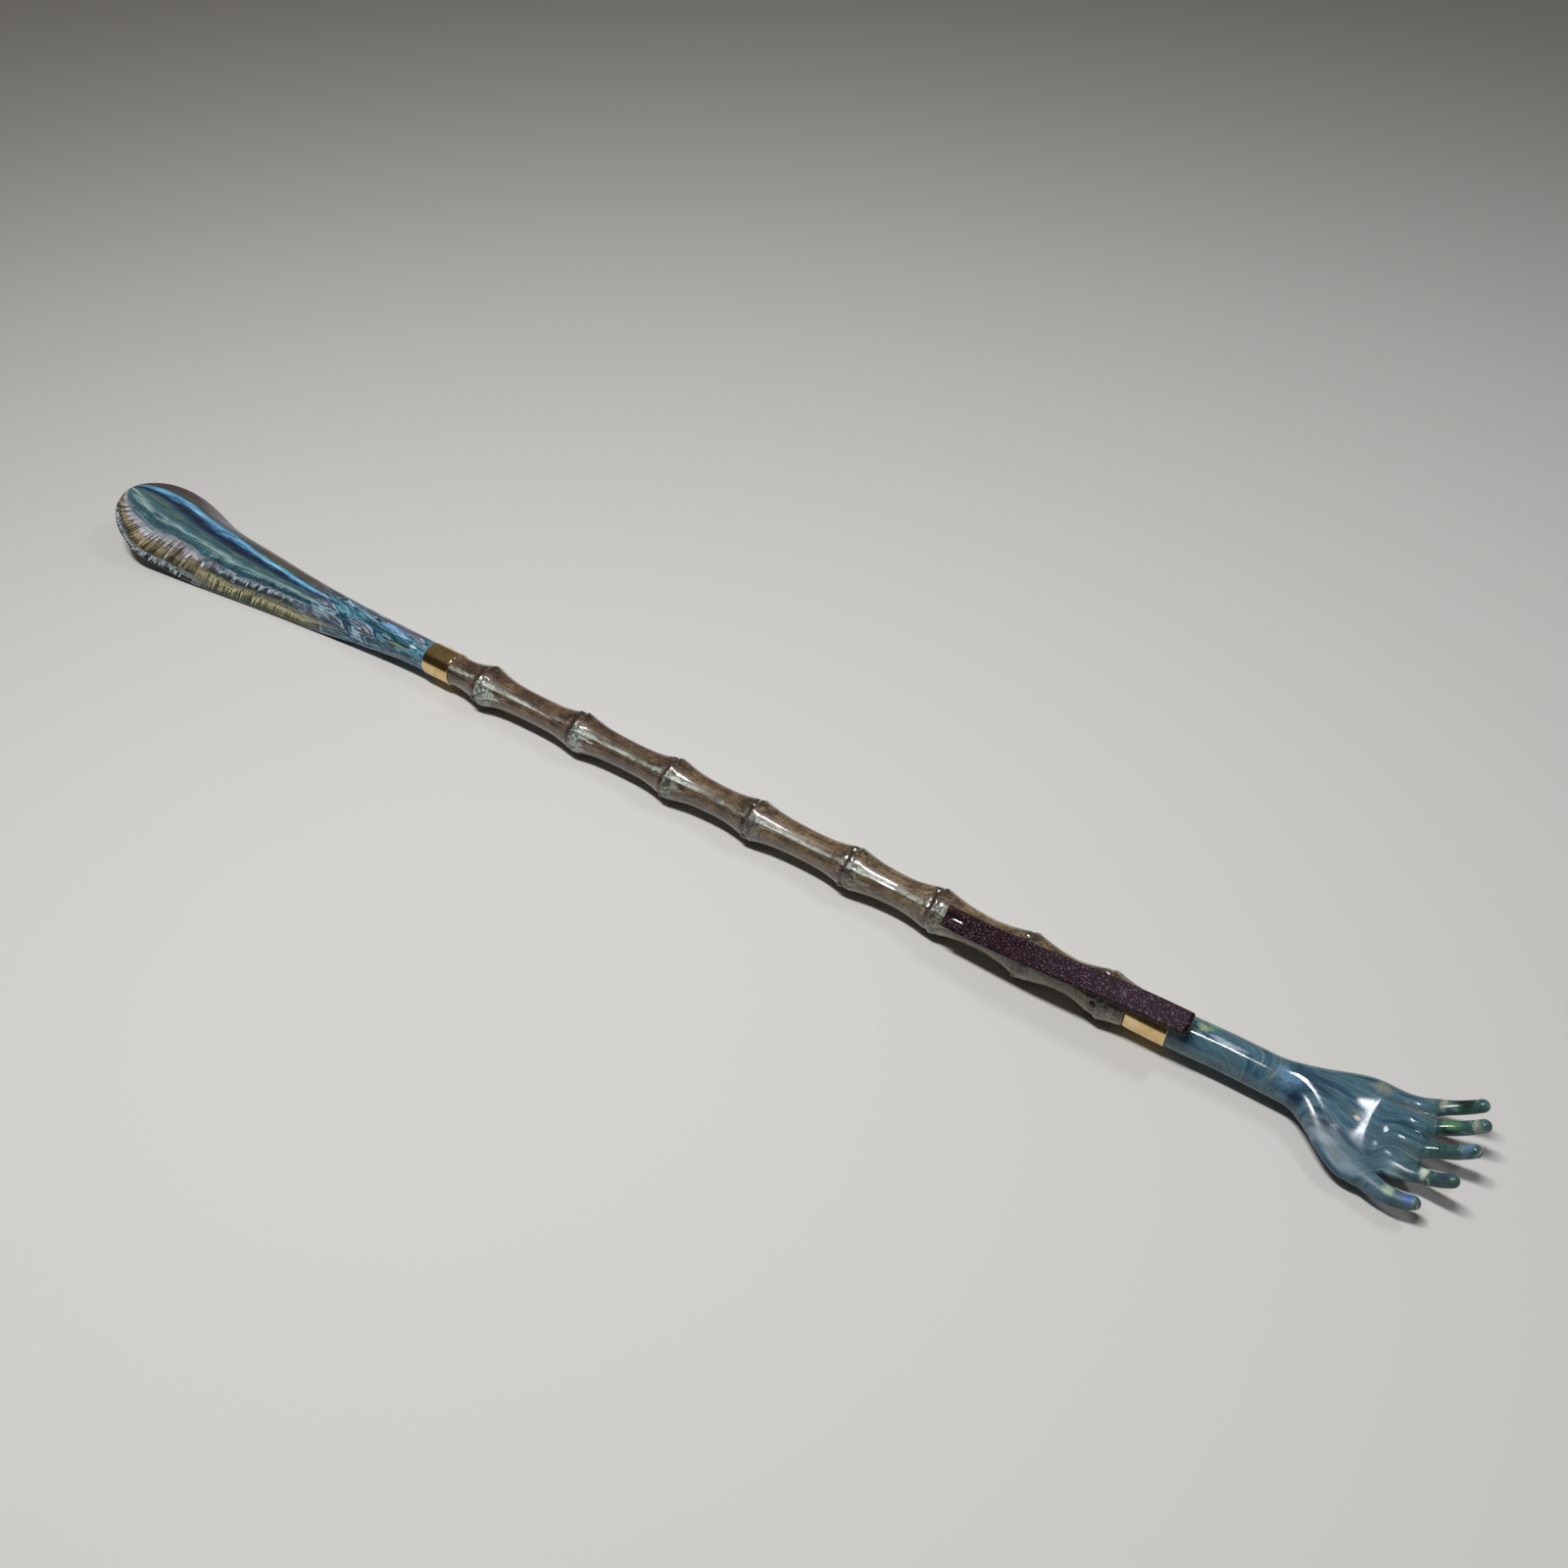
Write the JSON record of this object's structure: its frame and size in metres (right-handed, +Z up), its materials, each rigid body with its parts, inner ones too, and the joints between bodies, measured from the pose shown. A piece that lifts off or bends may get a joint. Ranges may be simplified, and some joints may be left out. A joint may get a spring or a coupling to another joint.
{
  "type": "back scratcher",
  "caption": "Long back scratcher with a marbled resin hand on a knotted bamboo handle, a resin shoe horn on its other end, brass ferrules and a leather hanging loop.",
  "frame": {"origin": "middle of the box's underside, under the bamboo handle's axis, on the plane that the knots and the shoe horn's two edges rest on", "axes": "+X along the handle towards the hand, +Z up out of the palm and out of the shoe horn's back, -Y on the thumb's side"},
  "size_m": [0.6125, 0.0473, 0.0222],
  "materials": {
    "horn_resin": "polished marbled resin",
    "hand_resin": "polished marbled resin",
    "ferrule_brass": "polished",
    "stud_steel": "plain, hidden",
    "bamboo": "gloss lacquer",
    "leather": "pebble grain",
    "staple_steel": "bright wire"
  },
  "bodies": {
    "stick": {"shoehorn_blade": "horn_resin", "shoehorn_ferrule": "ferrule_brass", "shoehorn_stud": "stud_steel", "bamboo_handle": "bamboo", "hand_stud": "stud_steel", "hand_ferrule": "ferrule_brass", "scratcher_hand": "hand_resin", "strap_tab": "leather", "strap_staple": "staple_steel"},
    "loop": {"strap_loop": "leather"}
  },
  "joints": [
    {"name": "loop_lift", "type": "hinge", "parent": "stick", "child": "loop", "pos_m": [0.14498, -0.00586, 0.01737], "axis": [0, -0.8192, -0.5736], "range_deg": [0, 120]}
  ]
}
